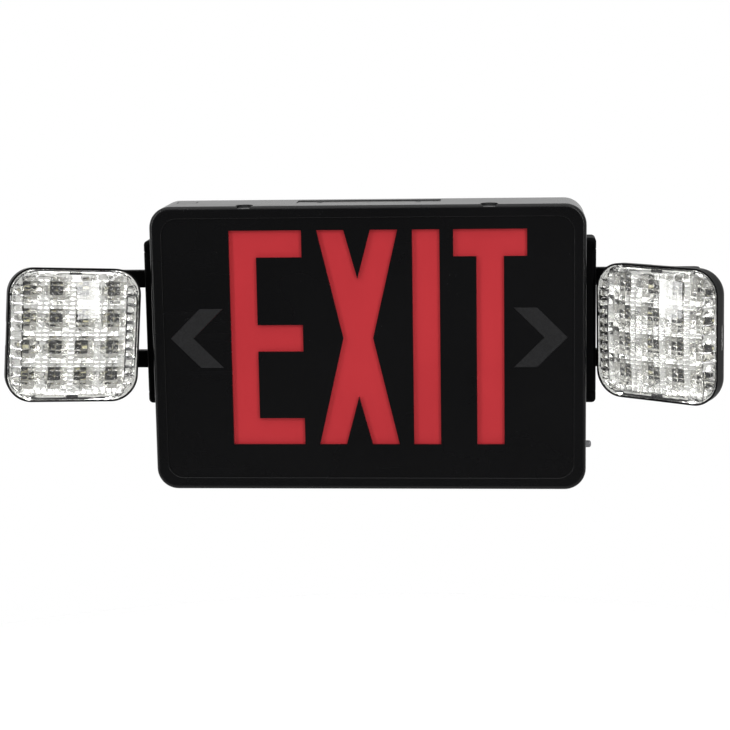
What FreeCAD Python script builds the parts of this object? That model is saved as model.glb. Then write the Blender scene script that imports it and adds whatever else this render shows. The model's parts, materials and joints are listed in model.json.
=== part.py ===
"""Combination emergency exit light with two swivelling lamp heads.

Frame: millimetres, +Z up, the wall behind the unit is the plane Y = 0 and the sign faces -Y.
The origin lies in the wall plane at the middle of the sign housing, +X is to the viewer's right.
Each sub-part is one function that returns a solid or a group of solids, written to parts/NAME.step.
"""
import FreeCAD, Part
import math
import os

V = FreeCAD.Vector

# ---------------------------------------------------------------- driving dimensions
# Sign housing
sign_width = 304.8          # 12 in
sign_height = 202.0
sign_depth = 48.0
corner_radius = 15.0
wall = 2.4                  # moulded wall of box and cover
cover_depth = 9.5           # how far the front cover reaches back
edge_fillet = 2.8           # soft front edge of the cover
rim_width = 8.6             # flat rim round the recessed panel
panel_recess = 0.8          # the panel lies this far behind the rim
panel_step_fillet = 0.6
tongue_length = 3.0         # tongue of the box inside the cover
tongue_wall = 1.2
fit_gap = 0.15              # gap between nested mouldings
tip_gap = 0.5               # room beyond the tip of a screw or stem

# Pry notches at the top seam
notch_x = 85.4
notch_half_width = 6.2
notch_half_length = 7.5
notch_depth = 1.7
notch_setback = 6.0         # centre of the notch behind the front

# Chevron knock-outs
chevron_side_gap = 12.8     # from the housing's side to the tip
chevron_length = 37.6       # tip to the inner ends of the arms
chevron_lift = 0.1          # above the middle of the legend window
chevron_half_height = 21.1
chevron_stroke = 16.4       # stroke measured along X
chevron_gap = 0.25

# Legend window parts
legend_side_gap = 8.0       # light box inside the housing's side walls
legend_top_gap = 7.9
legend_bottom_gap = 23.3
legend_corner_radius = 3.0
diffuser_thickness = 2.0
light_box_depth = 10.4
light_box_wall = 1.5
strip_end_gap = 20.5        # strip ends inside the light box
strip_width = 6.0
strip_thickness = 1.2
strip_led_count = 12
strip_led_size = (3.5, 2.8, 1.6)

# Wall mounting features of the back
keyhole_spacing = 203.2     # 8 in
keyhole_z = 58.0
keyhole_head_radius = 4.6
keyhole_slot_radius = 2.4
keyhole_slot_length = 10.0
box_screw_spacing = 88.9    # 3 1/2 in outlet box
box_screw_radius = 2.4
wire_entry_radius = 14.0

# Canopy recess and knock-out marks on the top
canopy_length = 101.6
canopy_width = 20.0
canopy_recess = 0.8
canopy_y = -17.0
canopy_screw_spacing = 69.85
canopy_screw_radius = 2.2
top_mark_side_gap = 22.9    # from the housing's side to the middle of the mark
top_mark_length = 14.5
top_mark_width = 9.0
mark_groove = 0.7
mark_depth = 0.5

# Side brackets
pad_projection = 7.2        # how far the pad stands off the housing side
pad_front = 33.0            # front face of the pad, measured from the wall
pad_back = 8.0
pad_height = 117.0
pad_z = 17.0
pad_edge_fillet = 3.0
pad_lip_inset = 8.0         # groove near each end of the pad
pad_lip_depth = 0.6
pad_lip_width = 1.0
fork_z = 16.8               # middle of the two fork arms
arm_spacing = 58.4
arm_height = 12.2
arm_front = 14.5
arm_back = 7.5
head_side_gap = 17.7        # pan axis to the pad, beyond half a head
pan_y = -23.5
ear_radius = 8.0
neck_radius = 8.0
neck_clearance = 0.3
neck_reach = 3.0            # how far the neck stands inside the wall
cable_radius = 4.0
bracket_screw_offset = 40.0
bracket_screw_radius = 2.0
bracket_screw_end = 1.5     # pad left solid beyond the screw hole
screw_head_radius = 3.6
screw_head_height = 2.4

# Swivel, tilt pin and knuckle
trunnion_radius = 3.5
bearing_clearance = 0.05
swivel_end_gap = 0.3
ear_skin = 1.0              # trunnion ends this far inside the ear's outer face
barrel_radius = 6.5
hub_radius = 11.0
hub_height = 24.0
hub_cheek = 2.0             # closed top and bottom of the hub's slot
knuckle_width = 10.0
knuckle_side_gap = 0.2
eye_radius = 7.5
tilt_pin_radius = 2.5
neck_half_height = 5.0
flange_radius = 10.0
flange_thickness = 2.5
stem_radius = 6.0
stem_nut_radius = 9.5
stem_nut_thickness = 3.0

# Lamp head
head_size = 94.4
head_radius = 18.9
head_depth = 22.0
head_draft_angle = 5.0      # degrees
head_back_fillet = 16.0
head_wall = 2.2
head_reach = 46.0           # pan axis to the rim plane
head_drop = 3.4             # head centre below the stem
lens_rim = 1.4              # casing edge seen round the lens
lens_wall = 2.0
lens_seat = 6.5             # how deep the lens edge sits in the casing
lens_bevel = 3.6
lens_bevel_height = 2.6
lens_crown = 2.4
tab_width = 17.0
tab_length = 7.0
tab_thickness = 1.0
tab_root = 1.0              # how far a tab is rooted in the lens edge
relief_depth = 1.0          # mould relief behind each tab window
cup_pitch = 20.3
cup_rows = 4
cup_mouth_radius = 9.2
cup_throat_radius = 3.2
cup_depth = 7.6
reflector_wall = 1.0
post_radius = 3.0
post_offset = 27.0
board_margin = 4.0          # LED board inside the reflector plate's edge
board_thickness = 1.6
led_size = 4.2
led_height = 1.4

# Head attitudes in degrees: pan towards the sign, face down, clockwise turn seen from the front
left_attitude = {"pan": 26.0, "tilt": 0.0, "turn": 4.4}
right_attitude = {"pan": 33.5, "tilt": 1.4, "turn": 0.0}

# Test button and pilot lamp in the right wall
button_y = -24.0
button_rise = 28.1          # above the bottom of the housing
button_radius = 2.5
button_projection = 4.4
button_flange_radius = 3.8
button_flange_thickness = 1.2
button_tip_fillet = 1.6
button_travel = 1.6
button_clearance = 0.15
button_free_travel = 0.3    # play between the pressed flange and the switch plunger
pilot_y = -13.0
pilot_radius = 1.5
pilot_projection = 0.3
switch_size = (6.0, 6.0, 3.6)
switch_plunger_radius = 1.6
switch_plunger_height = 1.0
switch_board_half_height = 9.0
switch_board_front = 6.0    # board edge ahead of the button's axis
spring_radius = 3.2
spring_wire = 0.4
pilot_collar_radius = 2.1
pilot_collar_length = 1.0

# Electronics
charger_size = (112.0, 62.0, 1.6)
charger_x = -48.0
charger_rise = 15.6         # board above the inside of the bottom wall
standoff_height = 5.0
standoff_radius = 3.2
board_screw_radius = 1.4
board_screw_head = 1.2
board_inset = 5.0
transformer_size = (36.0, 30.0, 14.0)
transformer_inset = 16.0    # from the board's left edge
bobbin_overhang = 3.0
core_step = 2.0             # the core is this much thinner than the bobbin on each face
terminal_size = (26.0, 11.0, 9.0)
terminal_inset = (12.0, 9.0)
terminal_poles = 3
terminal_hole_radius = 2.2
terminal_hole_depth = 4.0
terminal_slot_floor = 1.5
cell_radius = 7.2
cell_length = 50.0
cell_count = 3
battery_x = 66.0
battery_rise = 21.6         # cells above the inside of the bottom wall
sleeve_groove_radius = 1.6
sleeve_groove_offset = 0.6
strap_width = 12.0
strap_thickness = 1.2
strap_foot = 9.0

# ---------------------------------------------------------------- derived values
half_w = sign_width / 2
half_h = sign_height / 2
seam_y = -(sign_depth - cover_depth)
panel_front_y = -(sign_depth - panel_recess)
panel_back_y = panel_front_y + wall
inner_bottom_z = wall - half_h
legend_width = sign_width - 2 * (wall + legend_side_gap)
legend_top = half_h - wall - legend_top_gap
legend_bottom = inner_bottom_z + legend_bottom_gap
legend_height = legend_top - legend_bottom
legend_z = (legend_top + legend_bottom) / 2
chevron_z = legend_z + chevron_lift
chevron_tip_x = half_w - chevron_side_gap
strip_length = legend_width - 2 * (light_box_wall + strip_end_gap)
top_mark_x = top_mark_side_gap - half_w
pad_outer_x = half_w + pad_projection
pan_x = pad_outer_x + head_size / 2 + head_side_gap
button_z = button_rise - half_h
charger_centre = (charger_x, inner_bottom_z + charger_rise + charger_size[1] / 2)
battery_centre = (battery_x, inner_bottom_z + battery_rise + cell_length / 2)
lens_half = head_size / 2 - lens_rim
draft_slope = math.tan(math.radians(head_draft_angle))
reflector_inset = head_wall + fit_gap + (lens_seat + reflector_wall) * draft_slope
reflector_size = head_size - 2 * reflector_inset


# ---------------------------------------------------------------- helpers
def box(x0, x1, y0, y1, z0, z1):
    return Part.makeBox(x1 - x0, y1 - y0, z1 - z0, V(x0, y0, z0))


def cyl(radius, length, base, direction):
    return Part.makeCylinder(radius, length, V(*base), V(*direction))


def rounded_wire(width, height, radius, y, cx=0.0, cz=0.0):
    """Closed rounded rectangle in the plane Y = y, with tangent arcs at its corners."""
    hx, hz = width / 2, height / 2
    edges = []
    points = []
    for corner, (sx, sz) in enumerate(((1, 1), (-1, 1), (-1, -1), (1, -1))):
        centre = V(cx + sx * (hx - radius), y, cz + sz * (hz - radius))
        arc_points = []
        for step in range(3):
            turn = (corner + step / 2) * math.pi / 2
            arc_points.append(centre + V(radius * math.cos(turn), 0, radius * math.sin(turn)))
        points.append(arc_points)
    for index, arc_points in enumerate(points):
        edges.append(Part.Arc(*arc_points).toShape())
        following = points[(index + 1) % 4]
        edges.append(Part.LineSegment(arc_points[2], following[0]).toShape())
    return Part.Wire(edges)


def rounded_block(width, height, radius, y_front, y_back, cx=0.0, cz=0.0):
    face = Part.Face(rounded_wire(width, height, radius, y_front, cx, cz))
    return face.extrude(V(0, y_back - y_front, 0))


def edges_in_plane_y(shape, y, tolerance=1e-4):
    found = []
    for edge in shape.Edges:
        bounds = edge.BoundBox
        if abs(bounds.YMin - y) < tolerance and abs(bounds.YMax - y) < tolerance:
            found.append(edge)
    return found


def mirrored(shape):
    return shape.mirror(V(0, 0, 0), V(1, 0, 0))


def group(solids):
    return Part.makeCompound(solids)


def polygon_prism(points, y_front, y_back):
    wire = Part.makePolygon([V(x, y_front, z) for x, z in points + points[:1]])
    return Part.Face(wire).extrude(V(0, y_back - y_front, 0))


# ---------------------------------------------------------------- sign housing
def chevron_points(inset):
    """Right-hand chevron; the outline is drawn in by the inset on every side."""
    slope = chevron_half_height / (chevron_length - chevron_stroke)
    slant = inset * math.hypot(1, slope) / slope
    top = chevron_half_height - inset
    lean = top / slope
    tip = chevron_tip_x - slant
    inner = chevron_tip_x - chevron_stroke + slant
    return [(tip - lean, chevron_z + top), (tip, chevron_z), (tip - lean, chevron_z - top),
            (inner - lean, chevron_z - top), (inner, chevron_z), (inner - lean, chevron_z + top)]


def notch_cutters():
    cutters = []
    for side in (-1, 1):
        ellipse = Part.Ellipse(V(0, 0, 0), notch_half_length, notch_half_width).toShape()
        ellipse.rotate(V(0, 0, 0), V(0, 0, 1), 90)
        face = Part.Face(Part.Wire(ellipse))
        face.translate(V(side * notch_x, -(sign_depth - notch_setback), half_h - notch_depth))
        cutters.append(face.extrude(V(0, 0, 2 * notch_depth)))
    return cutters


def front_cover():
    body = rounded_block(sign_width, sign_height, corner_radius, -sign_depth, seam_y)
    body = body.makeFillet(edge_fillet, edges_in_plane_y(body, -sign_depth))
    cavity = rounded_block(sign_width - 2 * wall, sign_height - 2 * wall, corner_radius - wall,
                           panel_back_y, seam_y)
    recess = rounded_block(sign_width - 2 * rim_width, sign_height - 2 * rim_width,
                           corner_radius - rim_width / 2, -sign_depth, panel_front_y)
    body = body.cut(cavity).cut(recess)
    body = body.makeFillet(panel_step_fillet, rim_step_edges(body))
    right = polygon_prism(chevron_points(0.0), -sign_depth, panel_back_y)
    return body.cut([right, mirrored(right)] + notch_cutters())


def rim_step_edges(body):
    """The edge where the flat rim drops to the recessed panel."""
    limit_x = half_w - rim_width
    limit_z = half_h - rim_width
    found = []
    for edge in edges_in_plane_y(body, -sign_depth):
        bounds = edge.BoundBox
        inside_x = max(abs(bounds.XMin), abs(bounds.XMax)) < limit_x + fit_gap
        inside_z = max(abs(bounds.ZMin), abs(bounds.ZMax)) < limit_z + fit_gap
        if inside_x and inside_z:
            found.append(edge)
    return found


def back_box():
    body = rounded_block(sign_width, sign_height, corner_radius, seam_y, 0)
    cavity = rounded_block(sign_width - 2 * wall, sign_height - 2 * wall, corner_radius - wall,
                           seam_y, -wall)
    inner = 2 * (wall + fit_gap)
    tongue = rounded_block(sign_width - inner, sign_height - inner, corner_radius - inner / 2,
                           seam_y - tongue_length, seam_y + wall)
    hollow = inner + 2 * tongue_wall
    tongue_hole = rounded_block(sign_width - hollow, sign_height - hollow,
                                corner_radius - hollow / 2, seam_y - tongue_length, seam_y + wall)
    # the tongue is rooted on a short shelf along the inside of the wall
    shelf = rounded_block(sign_width - wall, sign_height - wall, corner_radius - wall / 2,
                          seam_y, seam_y + wall)
    shelf_hole = rounded_block(sign_width - hollow, sign_height - hollow,
                               corner_radius - hollow / 2, seam_y, seam_y + wall)
    body = body.cut(cavity)
    body = body.fuse([tongue.cut(tongue_hole), shelf.cut(shelf_hole)] + standoffs())
    return body.cut(wall_openings() + side_openings() + top_marks() + notch_cutters()).removeSplitter()


def standoff_places():
    length, height, thickness = charger_size
    places = []
    for sx in (-1, 1):
        for sz in (-1, 1):
            places.append((charger_centre[0] + sx * (length / 2 - board_inset),
                           charger_centre[1] + sz * (height / 2 - board_inset)))
    return places


def standoffs():
    posts = []
    for x, z in standoff_places():
        post = cyl(standoff_radius, standoff_height + wall, (x, -wall - standoff_height, z), (0, 1, 0))
        hole = cyl(board_screw_radius, standoff_height, (x, -wall - standoff_height, z), (0, 1, 0))
        posts.append(post.cut(hole))
    return posts


def wall_openings():
    """Keyholes, outlet-box screw holes and the wire entry in the back wall."""
    cuts = [cyl(wire_entry_radius, 2 * wall, (0, -1.5 * wall, 0), (0, 1, 0))]
    for side in (-1, 1):
        x = side * keyhole_spacing / 2
        cuts.append(cyl(keyhole_head_radius, 2 * wall, (x, -1.5 * wall, keyhole_z), (0, 1, 0)))
        top = keyhole_z + keyhole_slot_length
        cuts.append(cyl(keyhole_slot_radius, 2 * wall, (x, -1.5 * wall, top), (0, 1, 0)))
        cuts.append(box(x - keyhole_slot_radius, x + keyhole_slot_radius, -1.5 * wall, 0.5 * wall,
                        keyhole_z, top))
        cuts.append(cyl(box_screw_radius, 2 * wall,
                        (side * box_screw_spacing / 2, -1.5 * wall, 0), (0, 1, 0)))
    return cuts


def side_openings():
    """Necks and screws of the brackets on both sides, button and pilot lamp on the right."""
    cuts = []
    middle = -(pad_front + pad_back) / 2
    for side in (-1, 1):
        x = side * (half_w - wall / 2)
        start = x - side * wall
        cuts.append(cyl(neck_radius + neck_clearance, 2 * wall, (start, middle, pad_z), (side, 0, 0)))
        for dz in (-bracket_screw_offset, bracket_screw_offset):
            cuts.append(cyl(bracket_screw_radius + fit_gap, 2 * wall, (start, middle, pad_z + dz),
                            (side, 0, 0)))
    start = half_w - 1.5 * wall
    cuts.append(cyl(button_radius + button_clearance, 2 * wall, (start, button_y, button_z), (1, 0, 0)))
    cuts.append(cyl(pilot_radius + fit_gap, 2 * wall, (start, pilot_y, button_z), (1, 0, 0)))
    return cuts


def top_marks():
    """Canopy recess with its screw holes, and the outline of the conduit knock-out, in the top."""
    cuts = [box(-canopy_length / 2, canopy_length / 2, canopy_y - canopy_width / 2,
                canopy_y + canopy_width / 2, half_h - canopy_recess, half_h + wall)]
    for side in (-1, 1):
        cuts.append(cyl(canopy_screw_radius, 3 * wall,
                        (side * canopy_screw_spacing / 2, canopy_y, half_h - 2 * wall), (0, 0, 1)))
    outer = box(top_mark_x - top_mark_length / 2, top_mark_x + top_mark_length / 2,
                canopy_y - top_mark_width / 2, canopy_y + top_mark_width / 2,
                half_h - mark_depth, half_h + wall)
    inner = box(top_mark_x - top_mark_length / 2 + mark_groove,
                top_mark_x + top_mark_length / 2 - mark_groove,
                canopy_y - top_mark_width / 2 + mark_groove,
                canopy_y + top_mark_width / 2 - mark_groove,
                half_h - mark_depth, half_h + wall)
    cuts.append(outer.cut(inner))
    return cuts


def chevron_plug():
    """Knock-out plug of the right-hand chevron, as thick as the panel, its back on the diffuser."""
    return polygon_prism(chevron_points(chevron_gap), panel_front_y, panel_back_y)


def diffuser_panel():
    front = panel_back_y
    return rounded_block(legend_width, legend_height, legend_corner_radius,
                         front, front + diffuser_thickness, 0, legend_z)


def light_box():
    front = panel_back_y + diffuser_thickness
    back = front + light_box_depth
    outer = rounded_block(legend_width, legend_height, legend_corner_radius, front, back, 0, legend_z)
    inner = rounded_block(legend_width - 2 * light_box_wall, legend_height - 2 * light_box_wall,
                          legend_corner_radius - light_box_wall, front, back - light_box_wall, 0, legend_z)
    return outer.cut(inner)


def legend_strips():
    strips = []
    y_middle = panel_back_y + diffuser_thickness + light_box_depth / 2
    reach = legend_height / 2 - light_box_wall
    for side in (-1, 1):
        z_wall = legend_z + side * reach
        z_low = min(z_wall, z_wall - side * strip_thickness)
        strips.append(box(-strip_length / 2, strip_length / 2, y_middle - strip_width / 2,
                          y_middle + strip_width / 2, z_low, z_low + strip_thickness))
    return group(strips)


def legend_leds():
    chips = []
    along, across, tall = strip_led_size
    y_middle = panel_back_y + diffuser_thickness + light_box_depth / 2
    reach = legend_height / 2 - light_box_wall - strip_thickness
    pitch = strip_length / strip_led_count
    for side in (-1, 1):
        z_board = legend_z + side * reach
        z_low = min(z_board, z_board - side * tall)
        for index in range(strip_led_count):
            x = (index + 0.5) * pitch - strip_length / 2
            chips.append(box(x - along / 2, x + along / 2, y_middle - across / 2,
                             y_middle + across / 2, z_low, z_low + tall))
    return group(chips)


# ---------------------------------------------------------------- electronics
def charger_board():
    length, height, thickness = charger_size
    x, z = charger_centre
    back = -wall - standoff_height
    board = box(x - length / 2, x + length / 2, back - thickness, back, z - height / 2, z + height / 2)
    holes = []
    for px, pz in standoff_places():
        holes.append(cyl(board_screw_radius + fit_gap, 2 * thickness, (px, back - 1.5 * thickness, pz),
                         (0, 1, 0)))
    return board.cut(holes)


def board_screws():
    screws = []
    front = -wall - standoff_height - charger_size[2]
    for px, pz in standoff_places():
        head = cyl(2 * board_screw_radius, board_screw_head, (px, front - board_screw_head, pz), (0, 1, 0))
        reach = charger_size[2] + standoff_height - tip_gap
        shank = cyl(board_screw_radius, reach, (px, front, pz), (0, 1, 0))
        screws.append(head.fuse(shank))
    return group(screws)


def transformer():
    """Laminated core with its bobbin, soldered flat on the charger board."""
    length, height, tall = transformer_size
    front = -wall - standoff_height - charger_size[2]
    x = charger_centre[0] - charger_size[0] / 2 + length / 2 + transformer_inset
    z = charger_centre[1]
    core = box(x - length / 2, x + length / 2, front - tall + core_step, front - core_step,
               z - height / 2, z + height / 2)
    reach = height / 2 + bobbin_overhang
    bobbin = box(x - length / 4, x + length / 4, front - tall, front, z - reach, z + reach)
    return core.fuse(bobbin).removeSplitter()


def terminal_block():
    length, height, tall = terminal_size
    front = -wall - standoff_height - charger_size[2]
    x = charger_centre[0] + charger_size[0] / 2 - length / 2 - terminal_inset[0]
    z = charger_centre[1] - charger_size[1] / 2 + height / 2 + terminal_inset[1]
    low = z - height / 2
    body = box(x - length / 2, x + length / 2, front - tall, front, low, z + height / 2)
    cuts = []
    pitch = length / terminal_poles
    radius = terminal_hole_radius
    for index in range(terminal_poles):
        px = x + (index + 0.5) * pitch - length / 2
        cuts.append(cyl(radius, terminal_hole_depth, (px, front - tall, z), (0, 1, 0)))
        cuts.append(box(px - radius, px + radius, front - tall / 2, front - terminal_slot_floor,
                        low, low + height / 4))
    return body.cut(cuts)


def battery_outline(grow):
    """Three cells side by side: the section of the shrink-wrapped pack, grown by a wall."""
    reach = (cell_count - 1) * cell_radius
    radius = cell_radius + grow
    y = -wall - cell_radius
    x, z = battery_centre
    left, right = x - reach, x + reach
    start_z = z - cell_length / 2
    back, front = y + radius, y - radius
    edges = [
        Part.LineSegment(V(left, back, start_z), V(right, back, start_z)).toShape(),
        Part.Arc(V(right, back, start_z), V(right + radius, y, start_z), V(right, front, start_z)).toShape(),
        Part.LineSegment(V(right, front, start_z), V(left, front, start_z)).toShape(),
        Part.Arc(V(left, front, start_z), V(left - radius, y, start_z), V(left, back, start_z)).toShape(),
    ]
    return Part.Wire(edges)


def battery_pack():
    """Cells under one shrink sleeve; the sleeve follows the hollows between the cells in front."""
    sleeve = Part.Face(battery_outline(0)).extrude(V(0, 0, cell_length))
    grooves = []
    x, z = battery_centre
    groove_y = -wall - 2 * cell_radius - sleeve_groove_offset
    for index in range(cell_count - 1):
        groove_x = x + (2 * index - cell_count + 2) * cell_radius
        base = (groove_x, groove_y, z - cell_length / 2)
        grooves.append(cyl(sleeve_groove_radius, cell_length, base, (0, 0, 1)))
    return sleeve.cut(grooves)


def battery_strap():
    """Folded metal strap over the pack with a foot on each side."""
    x, z = battery_centre
    outer = Part.Face(battery_outline(strap_thickness + fit_gap)).extrude(V(0, 0, strap_width))
    inner = Part.Face(battery_outline(fit_gap)).extrude(V(0, 0, strap_width))
    lift = (cell_length - strap_width) / 2
    outer.translate(V(0, 0, lift))
    inner.translate(V(0, 0, lift))
    low, high = z - strap_width / 2, z + strap_width / 2
    reach = cell_count * cell_radius + fit_gap
    middle = -wall - cell_radius
    behind = box(x - 2 * reach, x + 2 * reach, middle, 0, low - 1, high + 1)
    strap = outer.cut(behind)
    legs = []
    for side in (-1, 1):
        x_in = x + side * reach
        x_out = x_in + side * strap_thickness
        legs.append(box(min(x_in, x_out), max(x_in, x_out), middle, -wall, low, high))
        x_foot = x_out + side * strap_foot
        legs.append(box(min(x_out, x_foot), max(x_out, x_foot), -wall - strap_thickness, -wall, low, high))
    return strap.fuse(legs).cut(inner).removeSplitter()


# ---------------------------------------------------------------- test button and pilot lamp
def button_stack():
    """X of the flange face at rest and of the switch plunger's tip."""
    flange_outer = half_w - wall
    flange_inner = flange_outer - button_flange_thickness
    return flange_outer, flange_inner


def test_button():
    flange_outer, flange_inner = button_stack()
    tip = half_w + button_projection
    centre = (flange_inner, button_y, button_z)
    shaft = cyl(button_radius, tip - flange_inner, centre, (1, 0, 0))
    tip_edges = [edge for edge in shaft.Edges if abs(edge.BoundBox.XMin - tip) < 1e-4]
    shaft = shaft.makeFillet(button_tip_fillet, tip_edges)
    flange = cyl(button_flange_radius, button_flange_thickness, centre, (1, 0, 0))
    return shaft.fuse(flange).removeSplitter()


def switch_face_x():
    return button_stack()[1] - button_travel - button_free_travel


def test_switch():
    """Push switch: square body on the switch board with a short round plunger."""
    face = switch_face_x()
    side_y, side_z, tall = switch_size
    top = face - switch_plunger_height
    body = box(top - tall, top, button_y - side_y / 2, button_y + side_y / 2,
               button_z - side_z / 2, button_z + side_z / 2)
    pin = cyl(switch_plunger_radius, switch_plunger_height, (top, button_y, button_z), (1, 0, 0))
    return body.fuse(pin)


def switch_board_x():
    return switch_face_x() - switch_plunger_height - switch_size[2]


def switch_board():
    """Small upright board that carries the switch and the pilot lamp, standing on the back wall."""
    face = switch_board_x()
    return box(face - board_thickness, face, button_y - switch_board_front, -wall,
               button_z - switch_board_half_height, button_z + switch_board_half_height)


def button_spring():
    """Return spring drawn as the sleeve that its coils fill, between flange and switch body."""
    inner_x = switch_face_x() - switch_plunger_height
    length = button_stack()[1] - inner_x
    coil = cyl(spring_radius, length, (inner_x, button_y, button_z), (1, 0, 0))
    bore = cyl(spring_radius - 2 * spring_wire, length, (inner_x, button_y, button_z), (1, 0, 0))
    return coil.cut(bore)


def pilot_lamp():
    """Round indicator lamp: lens through the wall, collar behind it, body on the switch board."""
    board = switch_board_x()
    tip = half_w + pilot_projection
    lens = cyl(pilot_radius, tip - board, (board, pilot_y, button_z), (1, 0, 0))
    collar = cyl(pilot_collar_radius, pilot_collar_length, (board, pilot_y, button_z), (1, 0, 0))
    return lens.fuse(collar).removeSplitter()


# ---------------------------------------------------------------- side brackets (right-hand, mirrored)
def arm_middles():
    return (fork_z - arm_spacing / 2, fork_z + arm_spacing / 2)


def fork_arm(z_middle):
    """One fork arm: a straight bar along the wall side that ends in an ear round the pan axis."""
    z0 = z_middle - arm_height / 2
    root = half_w + pad_projection / 2
    x_out = pan_x + ear_radius
    x_in = pan_x - ear_radius
    corner = ear_radius / 2
    back, front = -arm_back, -arm_front
    k = corner * (1 - math.sqrt(0.5))
    points = {
        "root_back": V(root, back, z0),
        "bend_a": V(x_out - corner, back, z0),
        "bend_m": V(x_out - k, back - k, z0),
        "bend_b": V(x_out, back - corner, z0),
        "ear_right": V(x_out, pan_y, z0),
        "ear_tip": V(pan_x, pan_y - ear_radius, z0),
        "ear_left": V(x_in, pan_y, z0),
        "inner_a": V(x_in, front - corner, z0),
        "inner_m": V(x_in - k, front - k, z0),
        "inner_b": V(x_in - corner, front, z0),
        "root_front": V(root, front, z0),
    }
    p = points
    edges = [
        Part.LineSegment(p["root_back"], p["bend_a"]).toShape(),
        Part.Arc(p["bend_a"], p["bend_m"], p["bend_b"]).toShape(),
        Part.LineSegment(p["bend_b"], p["ear_right"]).toShape(),
        Part.Arc(p["ear_right"], p["ear_tip"], p["ear_left"]).toShape(),
        Part.LineSegment(p["ear_left"], p["inner_a"]).toShape(),
        Part.Arc(p["inner_a"], p["inner_m"], p["inner_b"]).toShape(),
        Part.LineSegment(p["inner_b"], p["root_front"]).toShape(),
        Part.LineSegment(p["root_front"], p["root_back"]).toShape(),
    ]
    arm = Part.Face(Part.Wire(edges)).extrude(V(0, 0, arm_height))
    bore = cyl(trunnion_radius + bearing_clearance, arm_height, (pan_x, pan_y, z0), (0, 0, 1))
    return arm.cut(bore)


def bracket():
    middle_y = -(pad_front + pad_back) / 2
    depth = pad_front - pad_back
    pad = box(half_w, pad_outer_x, -pad_front, -pad_back, pad_z - pad_height / 2, pad_z + pad_height / 2)
    upright = [edge for edge in pad.Edges
               if abs(edge.BoundBox.XMin - half_w) > 1e-4 or edge.BoundBox.XLength > 1e-4]
    pad = pad.makeFillet(pad_edge_fillet, upright)
    grooves = []
    for side in (-1, 1):
        z = pad_z + side * (pad_height / 2 - pad_lip_inset)
        ring = box(half_w, pad_outer_x + 1, -pad_front - 1, -pad_back + 1, z - pad_lip_width / 2,
                   z + pad_lip_width / 2)
        core = box(half_w - 1, pad_outer_x - pad_lip_depth, -pad_front + pad_lip_depth,
                   -pad_back - pad_lip_depth, z - pad_lip_width, z + pad_lip_width)
        grooves.append(ring.cut(core))
    neck_start = (half_w - wall - neck_reach, middle_y, pad_z)
    neck = cyl(neck_radius, wall + neck_reach, neck_start, (1, 0, 0))
    cable = cyl(cable_radius, wall + pad_projection, neck_start, (1, 0, 0))
    holes = []
    for dz in (-bracket_screw_offset, bracket_screw_offset):
        holes.append(cyl(bracket_screw_radius, pad_projection - bracket_screw_end,
                         (half_w, middle_y, pad_z + dz), (1, 0, 0)))
    body = pad.cut(grooves).fuse([neck] + [fork_arm(z) for z in arm_middles()])
    return body.cut(holes + [cable]).removeSplitter()


def bracket_screws():
    middle_y = -(pad_front + pad_back) / 2
    screws = []
    for dz in (-bracket_screw_offset, bracket_screw_offset):
        seat = half_w - wall
        head = cyl(screw_head_radius, screw_head_height, (seat - screw_head_height, middle_y, pad_z + dz),
                   (1, 0, 0))
        shank = cyl(bracket_screw_radius, wall + pad_projection - bracket_screw_end - tip_gap,
                    (seat, middle_y, pad_z + dz), (1, 0, 0))
        screws.append(head.fuse(shank))
    return group(screws)


# ---------------------------------------------------------------- lamp head, in its own frame
# Head frame: the pan axis is the line X = Y = 0, the tilt axis is X through the origin, the head
# faces -Y and its rim plane lies at Y = -head_reach; the origin is at the height of the stem.
rim_y = -head_reach
back_y = -(head_reach - head_depth)


def swivel():
    """Barrel that turns between the fork arms, with a slotted hub for the knuckle."""
    inside = arm_spacing - arm_height
    length = inside - 2 * swivel_end_gap
    barrel = cyl(barrel_radius, length, (0, 0, -length / 2), (0, 0, 1))
    hub = cyl(hub_radius, hub_height, (0, 0, -hub_height / 2), (0, 0, 1))
    trunnion_length = inside + 2 * (arm_height - ear_skin)
    trunnion = cyl(trunnion_radius, trunnion_length, (0, 0, -trunnion_length / 2), (0, 0, 1))
    slot_half = knuckle_width / 2 + knuckle_side_gap
    slot_half_height = hub_height / 2 - hub_cheek
    slot = box(-slot_half, slot_half, -2 * hub_radius, eye_radius + tip_gap,
               -slot_half_height, slot_half_height)
    pin_hole = cyl(tilt_pin_radius, 2 * hub_radius, (-hub_radius, 0, 0), (1, 0, 0))
    return barrel.fuse([hub, trunnion]).cut([slot, pin_hole]).removeSplitter()


def tilt_pin():
    half = math.sqrt(hub_radius ** 2 - tilt_pin_radius ** 2)
    return cyl(tilt_pin_radius, 2 * half, (-half, 0, 0), (1, 0, 0))


def knuckle():
    """Eye on the tilt pin, neck and flange, and the stem that passes through the casing."""
    eye = cyl(eye_radius, knuckle_width, (-knuckle_width / 2, 0, 0), (1, 0, 0))
    flange_back = back_y + flange_thickness
    neck = box(-knuckle_width / 2, knuckle_width / 2, flange_back, 0, -neck_half_height, neck_half_height)
    flange = cyl(flange_radius, flange_thickness, (0, flange_back, 0), (0, -1, 0))
    stem_length = head_wall + stem_nut_thickness + tip_gap
    stem = cyl(stem_radius, stem_length, (0, back_y, 0), (0, -1, 0))
    hole = cyl(tilt_pin_radius + bearing_clearance, 2 * knuckle_width, (-knuckle_width, 0, 0), (1, 0, 0))
    return eye.fuse([neck, flange, stem]).cut(hole).removeSplitter()


def stem_nut():
    start = back_y - head_wall
    return cyl(stem_nut_radius, stem_nut_thickness, (0, start, 0), (0, -1, 0)).cut(
        cyl(stem_radius, stem_nut_thickness, (0, start, 0), (0, -1, 0)))


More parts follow.
